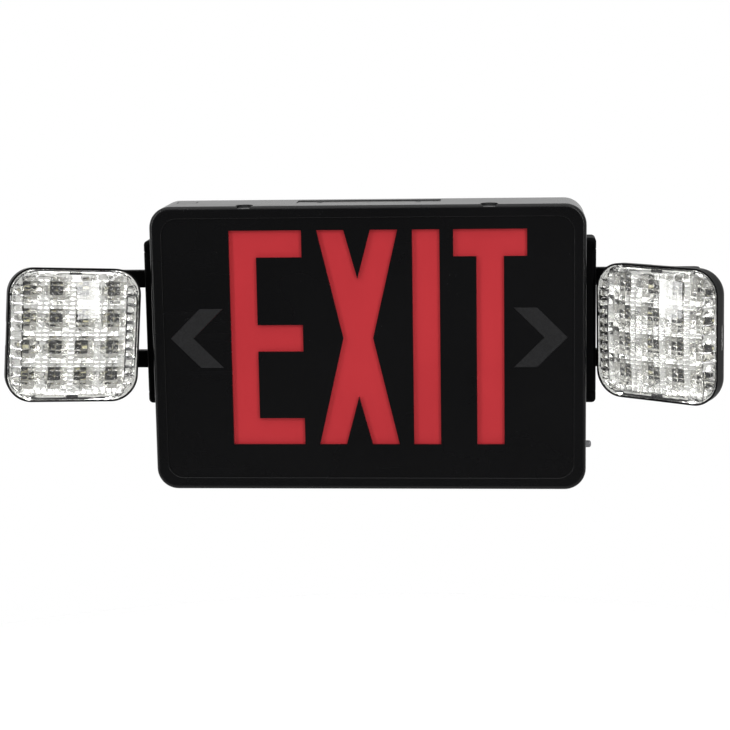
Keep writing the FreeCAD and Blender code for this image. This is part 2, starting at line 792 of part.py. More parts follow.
def drafted_block(size, radius, y_front, y_back):
    """Rounded square that narrows towards the back by the draft angle."""
    shrink = (y_back - y_front) * draft_slope
    front = rounded_wire(size, size, radius, y_front, 0, -head_drop)
    back = rounded_wire(size - 2 * shrink, size - 2 * shrink, radius - shrink, y_back, 0, -head_drop)
    return Part.makeLoft([front, back], True, True)


def casing():
    outer = drafted_block(head_size, head_radius, rim_y, back_y)
    outer = outer.makeFillet(head_back_fillet, edges_in_plane_y(outer, back_y))
    inner_size = head_size - 2 * head_wall
    inner_back = back_y - head_wall
    inner = drafted_block(inner_size, head_radius - head_wall, rim_y, inner_back)
    inner = inner.makeFillet(head_back_fillet - head_wall, edges_in_plane_y(inner, inner_back))
    seat_size = 2 * lens_half + 2 * fit_gap
    seat = rounded_block(seat_size, seat_size, head_radius - lens_rim, rim_y, rim_y + lens_seat,
                         0, -head_drop)
    body = outer.cut([inner, seat]).fuse(board_posts())
    bore = cyl(stem_radius + bearing_clearance, 3 * head_wall, (0, back_y + head_wall, 0), (0, -1, 0))
    return body.cut([bore] + tab_slots() + tab_reliefs())


def board_posts():
    """Four posts on the casing's back that carry the LED board at its corners."""
    posts = []
    for sx in (-1, 1):
        for sz in (-1, 1):
            base = (sx * post_offset, back_y - head_wall / 2, sz * post_offset - head_drop)
            posts.append(cyl(post_radius, base[1] - board_back_y(), base, (0, -1, 0)))
    return posts


def around_sides(reach_in, reach_out, half, y0, y1, lean=0):
    """The same block at the middle of each of the head's four sides, leaning inwards at the back."""
    first = box(reach_in, reach_out, y0, y1, -half, half)
    first.rotate(V(reach_in, y0, 0), V(0, 0, 1), lean)
    blocks = []
    for quarter in range(4):
        turned = first.copy()
        turned.rotate(V(0, 0, 0), V(0, 1, 0), 90 * quarter)
        turned.translate(V(0, 0, -head_drop))
        blocks.append(turned)
    return blocks


def tab_slots():
    """Windows at the middle of each side in which the lens tabs snap."""
    y0 = rim_y + lens_seat
    return around_sides(lens_half - tab_thickness - 2 * fit_gap, head_size / 2 + relief_depth,
                        tab_width / 2 + fit_gap, y0, y0 + tab_length + fit_gap)


def tab_reliefs():
    """Shallow channels from the tab windows to the back, leaning with the drafted sides."""
    y0 = rim_y + lens_seat
    floor = head_size / 2 - lens_seat * draft_slope - relief_depth
    half = tab_width / 2 + fit_gap
    return around_sides(floor, floor + 3 * relief_depth, half, y0, back_y, head_draft_angle)


def lens_dome(offset):
    """Solid under the lens surface drawn in by the offset: edge band, bevel and crowned face."""
    size = 2 * (lens_half - offset)
    radius = head_radius - lens_rim - offset
    edge_y = rim_y + offset
    base = rounded_block(size, size, radius, edge_y, rim_y + lens_seat, 0, -head_drop)
    crest = lens_bevel_height + lens_crown
    height = 1.2 * crest
    inset = lens_bevel * height / lens_bevel_height
    outline = rounded_wire(size, size, radius, edge_y, 0, -head_drop)
    top = rounded_wire(size - 2 * inset, size - 2 * inset, radius - inset, edge_y - height, 0, -head_drop)
    sides = Part.makeLoft([outline, top], True, True)
    # the crowned face is part of a large sphere that meets the bevel at the middle of each side
    half = lens_half - lens_bevel
    sphere_radius = (half ** 2 + lens_crown ** 2) / (2 * lens_crown)
    ball = Part.makeSphere(sphere_radius - offset, V(0, rim_y - crest + sphere_radius, -head_drop))
    return base.fuse(sides.common(ball))


def lens():
    """Clear cover that fills the casing's mouth, with a snap tab at the middle of each side."""
    shell = lens_dome(0).cut(lens_dome(lens_wall))
    y0 = rim_y + lens_seat
    tabs = around_sides(lens_half - tab_thickness, lens_half, tab_width / 2, y0 - tab_root,
                        y0 + tab_length)
    return shell.fuse(tabs).removeSplitter()


def reflector():
    """Chromed plate with sixteen conical cups, each open at its throat for one chip."""
    mouth_y = reflector_front_y()
    size = reflector_size
    plate = rounded_block(size, size, head_radius - head_wall, mouth_y, mouth_y + reflector_wall,
                          0, -head_drop)
    add, cut = [], []
    for x, z in cup_places():
        outer = Part.makeCone(cup_mouth_radius + reflector_wall, cup_throat_radius + reflector_wall,
                              cup_depth, V(x, mouth_y, z), V(0, 1, 0))
        inner = Part.makeCone(cup_mouth_radius, cup_throat_radius, cup_depth, V(x, mouth_y, z), V(0, 1, 0))
        add.append(outer)
        cut.append(inner)
    return plate.fuse(add).cut(cut)


def cup_places():
    places = []
    start = -(cup_rows - 1) / 2 * cup_pitch
    for row in range(cup_rows):
        for column in range(cup_rows):
            places.append((start + column * cup_pitch, start + row * cup_pitch - head_drop))
    return places


def reflector_front_y():
    return rim_y + lens_seat


def board_back_y():
    return reflector_front_y() + cup_depth + board_thickness


def led_board():
    size = reflector_size - 2 * board_margin
    radius = head_radius - head_wall - board_margin
    back = board_back_y()
    return rounded_block(size, size, radius, back - board_thickness, back, 0, -head_drop)


def leds():
    front = board_back_y() - board_thickness
    chips = []
    for x, z in cup_places():
        half = led_size / 2
        chips.append(box(x - half, x + half, front - led_height, front, z - half, z + half))
    return group(chips)


# ---------------------------------------------------------------- placing a head
def place(shape, side, pan, tilt=0, turn=0):
    """Turn on the stem, tilt on the pin, pan on the fork; the left head (side -1) faces right."""
    placed = shape.copy()
    origin = V(0, 0, 0)
    placed.rotate(origin, V(0, 1, 0), turn)
    placed.rotate(origin, V(1, 0, 0), tilt)
    placed.rotate(origin, V(0, 0, 1), -side * pan)
    placed.translate(V(side * pan_x, pan_y, fork_z))
    return placed


def head_parts(side, pan, tilt, turn):
    return {
        "swivel": place(swivel(), side, pan),
        "tilt_pin": place(tilt_pin(), side, pan),
        "knuckle": place(knuckle(), side, pan, tilt),
        "stem_nut": place(stem_nut(), side, pan, tilt),
        "casing": place(casing(), side, pan, tilt, turn),
        "lens": place(lens(), side, pan, tilt, turn),
        "reflector": place(reflector(), side, pan, tilt, turn),
        "led_board": place(led_board(), side, pan, tilt, turn),
        "leds": place(leds(), side, pan, tilt, turn),
    }


def all_parts():
    right_chevron = chevron_plug()
    right_bracket = bracket()
    right_screws = bracket_screws()
    parts = {
        "back_box": back_box(),
        "front_cover": front_cover(),
        "left_chevron": mirrored(right_chevron),
        "right_chevron": right_chevron,
        "diffuser_panel": diffuser_panel(),
        "light_box": light_box(),
        "legend_strips": legend_strips(),
        "legend_leds": legend_leds(),
        "charger_board": charger_board(),
        "board_screws": board_screws(),
        "transformer": transformer(),
        "terminal_block": terminal_block(),
        "battery_pack": battery_pack(),
        "battery_strap": battery_strap(),
        "test_button": test_button(),
        "test_switch": test_switch(),
        "switch_board": switch_board(),
        "button_spring": button_spring(),
        "pilot_lamp": pilot_lamp(),
        "right_bracket": right_bracket,
        "left_bracket": mirrored(right_bracket),
        "right_bracket_screws": right_screws,
        "left_bracket_screws": mirrored(right_screws),
    }
    for name, shape in head_parts(-1, **left_attitude).items():
        parts["left_" + name] = shape
    for name, shape in head_parts(1, **right_attitude).items():
        parts["right_" + name] = shape
    return parts


def main():
    os.makedirs("parts", exist_ok=True)
    for name, shape in all_parts().items():
        shape.exportStep("parts/" + name + ".step")
        print(name, "solids", len(shape.Solids), "valid", shape.isValid(), "volume", round(shape.Volume))


main()
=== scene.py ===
import json
import math

import bpy
from mathutils import Matrix, Vector


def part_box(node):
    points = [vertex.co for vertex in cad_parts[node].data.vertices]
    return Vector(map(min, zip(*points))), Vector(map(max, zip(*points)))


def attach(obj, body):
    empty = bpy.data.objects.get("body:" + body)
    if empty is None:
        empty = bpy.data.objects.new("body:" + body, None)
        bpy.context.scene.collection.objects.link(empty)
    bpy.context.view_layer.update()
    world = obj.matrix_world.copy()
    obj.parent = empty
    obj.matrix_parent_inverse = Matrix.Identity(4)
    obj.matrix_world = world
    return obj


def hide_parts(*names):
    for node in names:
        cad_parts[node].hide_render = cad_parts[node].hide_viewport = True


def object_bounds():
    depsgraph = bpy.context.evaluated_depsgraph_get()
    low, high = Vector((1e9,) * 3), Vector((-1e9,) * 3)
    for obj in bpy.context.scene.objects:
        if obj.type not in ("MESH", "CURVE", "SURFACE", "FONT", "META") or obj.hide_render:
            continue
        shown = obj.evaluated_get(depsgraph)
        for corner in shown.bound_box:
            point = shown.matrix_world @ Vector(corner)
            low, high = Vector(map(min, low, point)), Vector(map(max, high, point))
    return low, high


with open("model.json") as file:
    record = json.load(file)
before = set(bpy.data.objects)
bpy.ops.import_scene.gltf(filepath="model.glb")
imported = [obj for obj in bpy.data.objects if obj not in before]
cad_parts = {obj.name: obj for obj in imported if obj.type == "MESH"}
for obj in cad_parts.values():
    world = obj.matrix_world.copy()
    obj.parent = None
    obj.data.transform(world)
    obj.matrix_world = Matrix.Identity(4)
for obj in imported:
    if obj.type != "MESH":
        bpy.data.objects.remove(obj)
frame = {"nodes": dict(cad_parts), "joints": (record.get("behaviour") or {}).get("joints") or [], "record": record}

# All lengths are metres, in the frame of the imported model.
cad_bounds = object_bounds()
nodes = frame["nodes"]
joints = {joint["name"]: joint for joint in frame["joints"]}
SIDES = ("left", "right")

# ---------------------------------------------------------------- sizes that only this script uses
LEGEND_CENTRE_Z = 0.0077
LETTER_HEIGHT = 0.1524            # code height, 6 in
STROKE = 0.01905                  # code stroke, 3/4 in
E_LEFT, E_RIGHT = -0.0965, -0.0455
X_CENTRE = -0.0067
X_HALF_WIDTH = 0.0283             # outer half width at top and bottom
X_WAIST = 0.0105
X_NOTCH_Z = 0.042                 # where the inner edges of the X meet
I_LEFT = 0.03175
T_LEFT, T_RIGHT = 0.0603, 0.1114
CUTTER_OVERHANG = 0.002           # letter cutters start this far before the cover
CUTTER_PAST_COVER = 0.0002        # and end this far past its back

LENS_WALL = 0.002
LENSLET_WIDTH, LENSLET_HEIGHT = 0.0046, 0.00305
# Steps of a cell's rounded back, each an inset and a rise.
LENSLET_STEPS = ((0.00035, 0.00026), (0.00045, 0.00018), (0.0005, 0.00008))
RIB_STEPS = ((0.0004, 0.0009), (0.0005, 0.0006), (0.0006, 0.0004), (0.0008, 0.0002))
LENS_BORDER = 0.009               # margin that carries the long ribs
LENS_MARGIN = 0.0045              # smooth margin along the lens's top and bottom
LENS_CORNER = 0.0175              # corner radius of the lens outline
TAB_DEPTH = 0.003                 # how far the lens's tabs reach behind its back edge
LENS_TRIM = 0.00025               # room for the chromed lip under the lens's back edge
LENS_CROWN_LIMIT = 0.0022         # depth of the crowned face measured for its radius
SHEET_INSET = 0.2 * LENS_WALL     # the lenslet sheet inside the lens's outline
SHEET_FRONT = 0.4 * LENS_WALL     # its front, inside the wall, and its rear, clear of the wall
SHEET_BACK = 1.1 * LENS_WALL
SHEET_TRIM = 0.6 * LENS_WALL      # what is cut off it at the lens's sides
LIP_OVERHANG = 0.0001             # chromed lip beyond the lens's outline
LIP_HEIGHT = 0.0002
LIP_SINK = 0.00001                # its overlap with the reflector plate
TRAY_WALL = 0.0008                # raised chromed edge round the reflector
TRAY_GAP = 0.0002
TRAY_HEIGHT = 0.0042
CATCH_WIDTH, CATCH_HEIGHT, CATCH_DEPTH = 0.0085, 0.0018, 0.0050
CATCH_BEVEL = 0.0003
PAD_RADIUS, PAD_HEIGHT = 0.00315, 0.00015
CHIP_SIZE, CHIP_HEIGHT = 0.0042, 0.0012
PHOSPHOR_RADIUS = 0.0012
PHOSPHOR_FLATNESS = 0.35          # height of the dome over its radius
CUP_ROWS = 4                      # cups in a row, and rows
CUP_PITCH = 0.0203
FIRST_CUP = -(CUP_ROWS - 1) / 2 * CUP_PITCH   # centre of the lowest left cup, from the middle

CAMERA_PLACE = Vector((0.1024, -1.3987, 0.2277))
CAMERA_YAW, CAMERA_PITCH, CAMERA_ROLL = 4.426, 10.002, -0.917
CAMERA_LENS = 96.63
KNOCKOUT_GROWTH = 0.00022         # leaves a hairline round each chevron
KNOCKOUT_BEVEL = 0.0002
FLOOR_DROP = 0.42                 # the unit hangs this far above the floor
FLOOR_RADIUS = 1.1
FLOOR_COLOUR = (0.9, 0.9, 0.9)
FLOOR_GLOW = 0.5                  # lifts the floor to near white in the camera's eye alone
WORLD_LIGHT = 0.40                # level of the surround as light
FRONT_LEVEL = 0.14                # the room in front of the sign is this much dimmer
FRONT_EDGES = (-0.85, -0.15)      # Y of the directions between which it brightens
STUDIO_CENTRE = (0.0, -0.05, 0.0)
LAMPS = (                         # name, azimuth and elevation in degrees, distance, width, height, watts
    ("top_box", 0.0, 78.0, 1.3, 1.6, 0.9, 8.0),
    ("front_box", 4.0, 40.0, 1.5, 1.3, 0.35, 4.0),
    ("right_box", 37.0, 18.0, 1.5, 0.18, 1.24, 8.0),
    ("left_box", -53.5, 19.0, 1.5, 0.20, 1.5, 9.5),
)

TOUCHING = 1e-5                   # points nearer than this lie in the same plane
MERGED = 1e-6                     # points nearer than this are one


# ---------------------------------------------------------------- modelling helpers
def only(obj):
    """Make one object the sole selected and active one."""
    bpy.ops.object.select_all(action="DESELECT")
    obj.select_set(True)
    bpy.context.view_layer.objects.active = obj


def add_box(name, low, high):
    """A box between two corners, with its place applied."""
    bpy.ops.object.select_all(action="DESELECT")
    low, high = Vector(low), Vector(high)
    bpy.ops.mesh.primitive_cube_add(size=1, location=(low + high) / 2)
    piece = bpy.context.object
    piece.name = name
    piece.scale = high - low
    bpy.ops.object.transform_apply(location=True, rotation=True, scale=True)
    return piece


def clear_picks(obj, select_mode):
    """Leave nothing selected in an object's mesh, ready to pick vertices, edges or faces."""
    only(obj)
    bpy.ops.object.mode_set(mode="EDIT")
    bpy.ops.mesh.select_mode(type=select_mode)
    bpy.ops.mesh.select_all(action="DESELECT")
    bpy.ops.object.mode_set(mode="OBJECT")


def act(obj, operator, **settings):
    """Run one edit-mode operator on what is selected in the object."""
    only(obj)
    bpy.ops.object.mode_set(mode="EDIT")
    operator(**settings)
    bpy.ops.object.mode_set(mode="OBJECT")


def pick_vertices(obj, test):
    clear_picks(obj, "VERT")
    for vertex in obj.data.vertices:
        vertex.select = test(vertex.co)


def pick_faces(obj, test):
    clear_picks(obj, "FACE")
    for polygon in obj.data.polygons:
        polygon.select = test(polygon)


def modify(obj, kind, **settings):
    """Add one modifier, set it and apply it."""
    only(obj)
    modifier = obj.modifiers.new(kind.lower(), kind)
    for key, value in settings.items():
        setattr(modifier, key, value)
    bpy.ops.object.modifier_apply(modifier=modifier.name)
    return obj


def cut(obj, cutter, operation="DIFFERENCE"):
    """Boolean with another mesh, which is used up."""
    modify(obj, "BOOLEAN", operation=operation, object=cutter, solver="EXACT")
    bpy.data.objects.remove(cutter)


def copy_of(node, name):
    """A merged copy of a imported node's mesh, free to be worked on."""
    source = nodes[node]
    piece = bpy.data.objects.new(name, source.data.copy())
    bpy.context.scene.collection.objects.link(piece)
    piece.data.materials.clear()
    only(piece)
    bpy.ops.object.mode_set(mode="EDIT")
    bpy.ops.mesh.select_all(action="SELECT")
    bpy.ops.mesh.remove_doubles(threshold=MERGED)
    bpy.ops.object.mode_set(mode="OBJECT")
    return piece


def soften(obj, degrees):
    """Smooth shading across edges flatter than an angle."""
    only(obj)
    bpy.ops.object.shade_smooth_by_angle(angle=math.radians(degrees))
    return obj


def smooth(obj):
    """Smooth shading of a moulded shell, with broad flat faces joined up and kept flat."""
    act(obj, bpy.ops.mesh.select_all, action="SELECT")
    act(obj, bpy.ops.mesh.dissolve_limited, angle_limit=math.radians(0.05))
    soften(obj, 30)
    modify(obj, "WEIGHTED_NORMAL", keep_sharp=True, weight=100)


def place_in(obj, matrix):
    """Bring a piece from a head's own frame to its place, and apply it."""
    obj.matrix_world = matrix
    only(obj)
    bpy.ops.object.transform_apply(location=True, rotation=True, scale=True)
    return obj


def dress(piece, body, slot, material, *stands_for):
    """Give a finished piece its material, the body it rides on and the nodes it replaces."""
    piece.data.materials.clear()
    piece.data.materials.append(material)
    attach(piece, body)
    if stands_for:
        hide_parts(*stands_for)


def head_frame(side):
    """Axes of a lamp head at rest: X across, Y into the head, Z up; origin on the pan axis.

    A head's turn stops lie evenly about upright, so their middle tells how far it is turned at rest.
    """
    turn = joints[side + "_turn"]
    inward = Vector(turn["axis"]).normalized()
    resting_turn = -sum(turn["range_deg"]) / 2
    across = Vector(joints[side + "_tilt"]["axis"]).normalized()
    across = Matrix.Rotation(math.radians(resting_turn), 3, inward) @ across
    up = across.cross(inward)
    matrix = Matrix((across, inward, up)).transposed().to_4x4()
    matrix.translation = Vector(turn["pos_m"])
    return matrix


# ---------------------------------------------------------------- materials
class Signal:
    """A shader socket that can be used in Python arithmetic."""

    def __init__(self, finish, socket):
        self.finish = finish
        self.socket = socket

    def maths(self, operation, *values):
        return self.finish.node("ShaderNodeMath", {"operation": operation}, values)

    def __add__(self, other):
        return self.maths("ADD", self, other)

    def __radd__(self, other):
        return self.maths("ADD", other, self)

    def __rsub__(self, other):
        return self.maths("SUBTRACT", other, self)

    def __mul__(self, other):
        return self.maths("MULTIPLY", self, other)

    def __rmul__(self, other):
        return self.maths("MULTIPLY", other, self)

    def between(self, low, high):
        """0 below low, 1 above high, with a soft step."""
        return self.finish.node("ShaderNodeMapRange", {"interpolation_type": "SMOOTHSTEP"},
                                {"Value": self, "From Min": low, "From Max": high})


class Finish:
    """One material, with short ways to add the nodes that vary over a surface."""

    def __init__(self, name, **constants):
        self.material = bpy.data.materials.new(name)
        self.material.use_nodes = True
        self.tree = self.material.node_tree
        self.shader = self.tree.nodes["Principled BSDF"]
        for words, value in constants.items():
            self.set(words.replace("_", " ").title().replace("Ior", "IOR"), value)
        self.coordinates = self.node("ShaderNodeTexCoord", {}, {}, "Object")

    def set(self, socket_name, value):
        socket = self.shader.inputs[socket_name]
        if isinstance(value, Signal):
            self.tree.links.new(value.socket, socket)
        elif isinstance(value, tuple) and len(value) == 3:
            socket.default_value = (*value, 1.0)
        else:
            socket.default_value = value

    def node(self, kind, settings, inputs, output=0):
        made = self.tree.nodes.new(kind)
        for key, value in settings.items():
            setattr(made, key, value)
        pairs = inputs.items() if isinstance(inputs, dict) else enumerate(inputs)
        for key, value in pairs:
            if isinstance(value, Signal):
                self.tree.links.new(value.socket, made.inputs[key])
            elif isinstance(value, tuple) and len(value) == 3 and made.inputs[key].type == "RGBA":
                made.inputs[key].default_value = (*value, 1.0)
            else:
                made.inputs[key].default_value = value
        return Signal(self, made.outputs[output])

    def stretched(self, scale):
        return self.node("ShaderNodeMapping", {}, {"Vector": self.coordinates, "Scale": scale})

    def noise(self, scale, detail=3.0, roughness=0.5, vector=None):
        return self.node("ShaderNodeTexNoise", {}, {"Vector": vector or self.coordinates, "Scale": scale,
                                                    "Detail": detail, "Roughness": roughness})

    def cells(self, scale, output="Distance"):
        return self.node("ShaderNodeTexVoronoi", {}, {"Vector": self.coordinates, "Scale": scale}, output)

    def blend(self, factor, first, second):
        """Colour between first and second."""
        return self.node("ShaderNodeMix", {"data_type": "RGBA"}, {"Factor": factor, 6: first, 7: second}, 2)

    def bump(self, height, distance):
        self.set("Normal", self.node("ShaderNodeBump", {}, {"Height": height, "Distance": distance}))


def moulded_plastic(name, colour, roughness):
    """Injection-moulded plastic: fine spark texture and slight cloudiness."""
    finish = Finish(name)
    cloud = finish.noise(18.0, 4.0, 0.6)
    grain = finish.noise(2600.0, 2.0, 0.6)
    lighter = tuple(1.35 * channel for channel in colour)
    finish.set("Base Color", finish.blend(cloud.between(0.35, 0.75), colour, lighter))
    finish.set("Roughness", roughness - 0.05 + 0.1 * cloud)
    finish.bump(grain, 0.00002)
    return finish.material


def black_shell(name, colour, roughness, specular):
    """Semi-gloss black with faint wiped dust and hairline rubs."""
    finish = Finish(name, specular_ior_level=specular)
    cloud = finish.noise(9.0, 4.0, 0.55)
    dust = finish.cells(420.0)
    specks = 1.0 - dust.between(0.05, 0.16)
    sparse = finish.noise(60.0, 2.0).between(0.62, 0.72)
    rubs = finish.noise(40.0, 3.0, 0.6, finish.stretched((0.35, 1.0, 3.4))).between(0.6, 0.8)
    tone = finish.blend(cloud.between(0.3, 0.8), colour, tuple(1.5 * channel for channel in colour))
    finish.set("Base Color", finish.blend(specks * sparse * 0.35, tone, (0.12, 0.12, 0.125)))
    finish.set("Roughness", roughness + 0.05 * cloud + 0.06 * rubs)
    finish.bump(finish.noise(3200.0, 2.0), 0.000012)
    return finish.material


def textured_chevron(name):
    """Spark-eroded texture of the knock-outs, duller and greyer than the panel."""
    finish = Finish(name, specular_ior_level=0.3)
    grain = finish.noise(900.0, 3.0, 0.7)
    finish.set("Base Color", finish.blend(grain.between(0.35, 0.65), (0.004, 0.004, 0.0045),
                                          (0.011, 0.011, 0.012)))
    finish.set("Roughness", 0.5 + 0.2 * grain)
    finish.bump(grain, 0.0001)
    return finish.material


def red_acrylic_painted_glow(name):
    """Translucent red sheet behind the cut-out legend, satin on its front, with a painted glow."""
    # painted glow: this even red emission stands for the sign's backlight and also fills in the shade at the
    # recessed edges of the letters
    finish = Finish(name, roughness=0.45, specular_ior_level=0.25, emission_color=(0.50, 0.030, 0.040),
                    emission_strength=0.13)
    cloud = finish.noise(14.0, 3.0)
    finish.set("Base Color", finish.blend(cloud.between(0.3, 0.7), (0.43, 0.024, 0.031),
                                          (0.47, 0.028, 0.035)))
    finish.bump(finish.noise(1800.0), 0.00001)
    return finish.material


def clear_polycarbonate(name):
    """Clear moulded lens with a breath of haze."""
    finish = Finish(name, transmission_weight=1.0, ior=1.52)
    haze = finish.noise(30.0, 3.0)
    finish.set("Base Color", finish.blend(haze.between(0.3, 0.8), (0.985, 0.99, 0.99),
                                          (0.96, 0.965, 0.96)))
    finish.set("Roughness", 0.015 + 0.02 * haze)
    return finish.material


def bright_metal(name, colour, roughness):
    """Metallised plastic with slight unevenness."""
    finish = Finish(name, metallic=1.0)
    cloud = finish.noise(120.0, 3.0, 0.6)
    darker = tuple(0.9 * channel for channel in colour)
    finish.set("Base Color", finish.blend(cloud.between(0.3, 0.7), colour, darker))
    finish.set("Roughness", roughness + 0.08 * cloud)
    finish.bump(cloud, 0.00002)
    return finish.material


def brushed_steel(name):
    """Zinc-plated steel with drawn lines and faint spangle."""
    finish = Finish(name, metallic=1.0)
    lines = finish.noise(60.0, 3.0, 0.6, finish.stretched((1.0, 24.0, 1.0)))
    spangle = finish.cells(700.0, "Color")
    finish.set("Base Color", finish.blend(spangle, (0.60, 0.60, 0.57), (0.68, 0.67, 0.62)))
    finish.set("Roughness", 0.28 + 0.2 * lines)
    finish.bump(lines, 0.00001)
    return finish.material


def circuit_board(name, mask, track):
    """Solder mask over square-cornered tracks."""
    finish = Finish(name, roughness=0.4)
    tracks = finish.node("ShaderNodeTexVoronoi", {"distance": "CHEBYCHEV"},
                         {"Vector": finish.coordinates, "Scale": 260.0})
    line = tracks.between(0.42, 0.46)
    finish.set("Base Color", finish.blend(line, mask, track))
    finish.bump(line, 0.00003)
    return finish.material


def laminated_iron(name):
    """Varnished stack of thin laminations."""
    finish = Finish(name, metallic=0.3)
    layers = finish.noise(900.0, 1.0, 0.4, finish.stretched((0.02, 1.0, 0.02)))
    finish.set("Base Color", finish.blend(layers.between(0.4, 0.6), (0.05, 0.05, 0.055),
                                          (0.14, 0.13, 0.12)))
    finish.set("Roughness", 0.35 + 0.2 * layers)
    finish.bump(layers, 0.0001)
    return finish.material


def shrink_sleeve(name):
    """Glossy heat-shrunk film with soft wrinkles."""
    finish = Finish(name, coat_weight=0.4, coat_roughness=0.1)
    wrinkles = finish.noise(90.0, 4.0, 0.6, finish.stretched((1.0, 1.0, 0.3)))
    finish.set("Base Color", finish.blend(wrinkles.between(0.3, 0.7), (0.62, 0.60, 0.10),
                                          (0.72, 0.70, 0.16)))
    finish.set("Roughness", 0.2 + 0.15 * wrinkles)
    finish.bump(wrinkles, 0.0003)
    return finish.material


def phosphor_chip(name, middle, rim):
    """LED chip: coloured phosphor in a pale package."""
    finish = Finish(name, coat_weight=0.5)
    grain = finish.noise(700.0, 2.0)
    finish.set("Base Color", finish.blend(grain.between(0.3, 0.7), middle, rim))
    finish.set("Roughness", 0.25 + 0.2 * grain)
    finish.bump(grain, 0.00003)
    return finish.material


def make_materials():
    return {
        "housing_black": black_shell("housing_black", (0.0022, 0.0022, 0.0025), 0.25, 0.22),
        "chevron_black": textured_chevron("chevron_black"),
        "diffuser_red": red_acrylic_painted_glow("diffuser_red"),
        "light_box_white": moulded_plastic("light_box_white", (0.72, 0.72, 0.70), 0.45),
        "board_green": circuit_board("board_green", (0.02, 0.12, 0.05), (0.05, 0.22, 0.09)),
        "board_white": circuit_board("board_white", (0.80, 0.80, 0.77), (0.70, 0.70, 0.66)),
        "led_red": phosphor_chip("led_red", (0.55, 0.06, 0.05), (0.75, 0.16, 0.12)),
        "led_white": phosphor_chip("led_white", (0.78, 0.72, 0.40), (0.84, 0.80, 0.58)),
        "steel_zinc": brushed_steel("steel_zinc"),
        "transformer_iron": laminated_iron("transformer_iron"),
        "terminal_green": moulded_plastic("terminal_green", (0.04, 0.24, 0.10), 0.4),
        "battery_wrap": shrink_sleeve("battery_wrap"),
        "button_grey": moulded_plastic("button_grey", (0.20, 0.20, 0.21), 0.35),
        "switch_black": moulded_plastic("switch_black", (0.02, 0.02, 0.02), 0.45),
        "spring_steel": brushed_steel("spring_steel"),
        "pilot_clear": phosphor_chip("pilot_clear", (0.55, 0.06, 0.05), (0.65, 0.12, 0.10)),
        "bracket_black": black_shell("bracket_black", (0.0012, 0.0012, 0.0014), 0.50, 0.03),
        "head_black": black_shell("head_black", (0.0014, 0.0014, 0.0016), 0.42, 0.06),
        "lens_clear": clear_polycarbonate("lens_clear"),
        "chrome_reflector": bright_metal("chrome_reflector", (0.68, 0.675, 0.645), 0.04),
    }


def paint_nodes(materials):
    """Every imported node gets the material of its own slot."""
    for entry in frame["record"]["subparts"]:
        mesh = nodes[entry["node"]].data
        mesh.materials.clear()
        mesh.materials.append(materials[entry["material_slot"]])


# ---------------------------------------------------------------- stencil cover with the legend
def letter_cutters():
    """Solid letters through the front panel, as plain square strokes of the code width."""
    cover_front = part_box("front_cover")[0].y
    diffuser_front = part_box("diffuser_panel")[0].y
    near, far = cover_front - CUTTER_OVERHANG, diffuser_front + CUTTER_PAST_COVER
    low = LEGEND_CENTRE_Z - LETTER_HEIGHT / 2
    high = LEGEND_CENTRE_Z + LETTER_HEIGHT / 2
    middle = LEGEND_CENTRE_Z

    def stroke(x0, x1, z0, z1):
        return add_box("stroke", (x0, near, z0), (x1, far, z1))

    return [
        stroke(E_LEFT, E_LEFT + STROKE, low, high),
        stroke(E_LEFT, E_RIGHT, high - STROKE, high),
        stroke(E_LEFT, E_RIGHT, middle - STROKE / 2, middle + STROKE / 2),
        stroke(E_LEFT, E_RIGHT, low, low + STROKE),
        stroke(I_LEFT, I_LEFT + STROKE, low, high),
        stroke(T_LEFT, T_RIGHT, high - STROKE, high),
        stroke((T_LEFT + T_RIGHT - STROKE) / 2, (T_LEFT + T_RIGHT + STROKE) / 2, low, high),
        letter_x(near, far, low, high),
    ]


def letter_x(near, far, low, high):
    """Hourglass with a wedge taken out of its top and its bottom."""
    middle = (low + high) / 2
    body = add_box("hourglass", (X_CENTRE - X_HALF_WIDTH, near, low),
                   (X_CENTRE + X_HALF_WIDTH, far, high))
    act(body, bpy.ops.mesh.select_all, action="SELECT")
    act(body, bpy.ops.mesh.bisect, plane_co=(0, 0, middle), plane_no=(0, 0, 1))
    pick_vertices(body, lambda co: abs(co.z - middle) < TOUCHING)
    squeeze = X_WAIST / X_HALF_WIDTH
    act(body, bpy.ops.transform.resize, value=(squeeze, 1, 1),
        center_override=(X_CENTRE, near, middle))
    for edge_z, notch_z in ((high, middle + X_NOTCH_Z), (low, middle - X_NOTCH_Z)):
        half = X_HALF_WIDTH - STROKE
        wedge = add_box("wedge", (X_CENTRE - half, near - CUTTER_OVERHANG, min(edge_z, notch_z)),
                        (X_CENTRE + half, far + CUTTER_OVERHANG, max(edge_z, notch_z)))
        pick_vertices(wedge, lambda co: abs(co.z - notch_z) < TOUCHING)
        act(wedge, bpy.ops.transform.resize, value=(0, 1, 1), center_override=(X_CENTRE, near, notch_z))
        act(wedge, bpy.ops.mesh.select_all, action="SELECT")
        act(wedge, bpy.ops.mesh.remove_doubles, threshold=MERGED)
        cut(body, wedge)
    return body


def stencil_cover(materials):
    """The front cover with its legend cut through, over the red diffuser."""
    cover = copy_of("front_cover", "stencil_cover")
    for letter in letter_cutters():
        cut(cover, letter)
    smooth(cover)
    dress(cover, "housing", "housing_black", materials["housing_black"], "front_cover")


# ---------------------------------------------------------------- ribbed lenses
def local_copy(node, name, side):
    """A copy of a head's node, brought back to the head's own frame."""
    piece = copy_of(node, name)
    return place_in(piece, head_frame(side).inverted())


def extent(piece, axis):
    values = [vertex.co[axis] for vertex in piece.data.vertices]
    return min(values), max(values)


